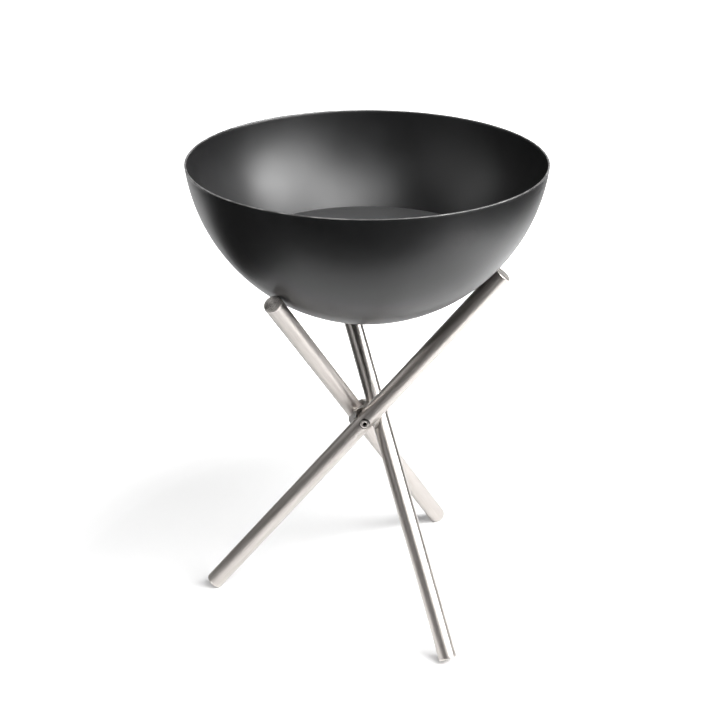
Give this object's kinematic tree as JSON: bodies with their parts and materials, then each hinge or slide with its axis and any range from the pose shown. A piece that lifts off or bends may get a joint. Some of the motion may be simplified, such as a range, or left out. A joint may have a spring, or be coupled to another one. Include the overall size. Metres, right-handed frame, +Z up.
{
  "type": "fire bowl",
  "caption": "Open spherical fire bowl resting loosely on crossed tube legs that fold about a central hub.",
  "frame": {"origin": "on the floor under the bowl's axis, in the plane the feet stand on", "axes": "+Z up along the bowl's and hub's shared axis; leg a's pivot points along -Y, and legs b and c are turned 120 and 240 degrees from it anticlockwise seen from above"},
  "size_m": [0.5699, 0.57, 0.7867],
  "materials": {
    "bowl_coating": "satin black heat-resistant coating, slightly open grain",
    "plate_coating": "satin graphite heat-resistant coating, slightly metallic",
    "hub_steel": "matte bead-blasted stainless",
    "tube_steel": "stainless brushed lengthways, slightly warm",
    "cap_steel": "turned stainless, fine rings",
    "sleeve_steel": "turned stainless",
    "screw_steel": "satin stainless",
    "washer_steel": "plain stainless"
  },
  "bodies": {
    "hub": {"hub_block": "hub_steel", "pivot_screw_a": "screw_steel", "pivot_screw_b": "screw_steel", "pivot_screw_c": "screw_steel"},
    "leg_a": {"tube_a": "tube_steel", "top_cap_a": "cap_steel", "foot_cap_a": "cap_steel", "pivot_sleeve_a": "sleeve_steel", "thrust_washer_a": "washer_steel"},
    "leg_b": {"tube_b": "tube_steel", "top_cap_b": "cap_steel", "foot_cap_b": "cap_steel", "pivot_sleeve_b": "sleeve_steel", "thrust_washer_b": "washer_steel"},
    "leg_c": {"tube_c": "tube_steel", "top_cap_c": "cap_steel", "foot_cap_c": "cap_steel", "pivot_sleeve_c": "sleeve_steel", "thrust_washer_c": "washer_steel"},
    "bowl": {"bowl_shell": "bowl_coating"},
    "plate": {"fire_plate": "plate_coating"}
  },
  "joints": [
    {"name": "leg_a_fold", "type": "hinge", "parent": "hub", "child": "leg_a", "pos_m": [0, 0, 0.33989], "axis": [0, -1, 0], "range_deg": [0, 39]},
    {"name": "leg_b_fold", "type": "hinge", "parent": "hub", "child": "leg_b", "pos_m": [0, 0, 0.33989], "axis": [0.866, 0.5, 0], "range_deg": [0, 39]},
    {"name": "leg_c_fold", "type": "hinge", "parent": "hub", "child": "leg_c", "pos_m": [0, 0, 0.33989], "axis": [-0.866, 0.5, 0], "range_deg": [0, 39]},
    {"name": "bowl_lift", "type": "slide", "parent": "hub", "child": "bowl", "axis": [0, 0, 1], "range_m": [0, 0.375]},
    {"name": "fire_plate_lift", "type": "slide", "parent": "bowl", "child": "plate", "axis": [0, 0, 1], "range_m": [0, 0.2]}
  ],
  "couplings": [
    {"joint": "leg_b_fold", "follows": "leg_a_fold", "ratio": 1},
    {"joint": "leg_c_fold", "follows": "leg_a_fold", "ratio": 1},
    {"joint": "bowl_lift", "follows": "leg_a_fold", "m_per_rad": 0.55}
  ]
}
